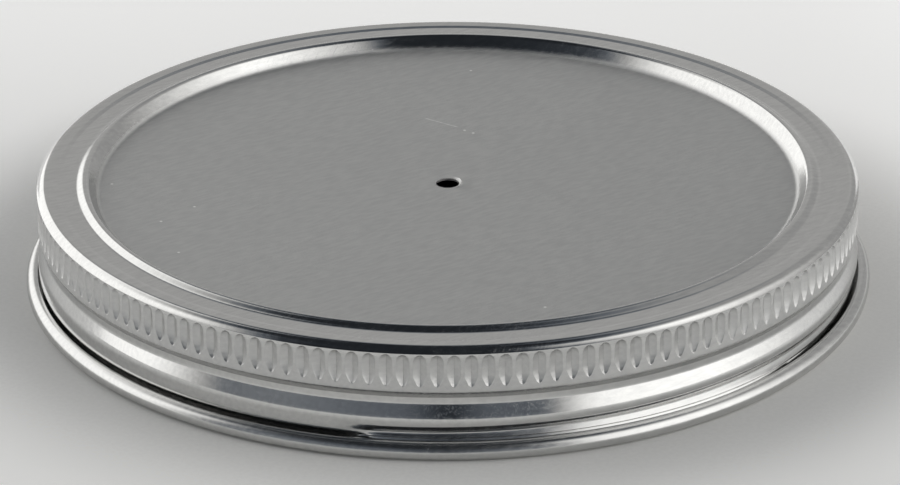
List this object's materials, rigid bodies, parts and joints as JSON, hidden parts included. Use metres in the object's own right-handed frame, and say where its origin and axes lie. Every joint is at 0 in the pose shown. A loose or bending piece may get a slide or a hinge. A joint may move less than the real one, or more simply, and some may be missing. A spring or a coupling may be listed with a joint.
{
  "type": "beverage dispenser lid",
  "caption": "Round pressed tinplate screw lid with a sunk top panel, a central vent hole, a fluted finger grip, a pressed thread and a rolled edge.",
  "frame": {"origin": "centre of the lid's round outline, at the bottom of the rolled edge", "axes": "+Z along the lid's axis, from its open mouth to its closed top; -Y is the side that the picture shows in front"},
  "size_m": [0.1156, 0.1156, 0.0156],
  "materials": {
    "tinplate": "bright rolled tinplate, matt on the flat panel and glossy on the bends"
  },
  "bodies": {
    "root": {"lid": "tinplate"}
  },
  "joints": []
}
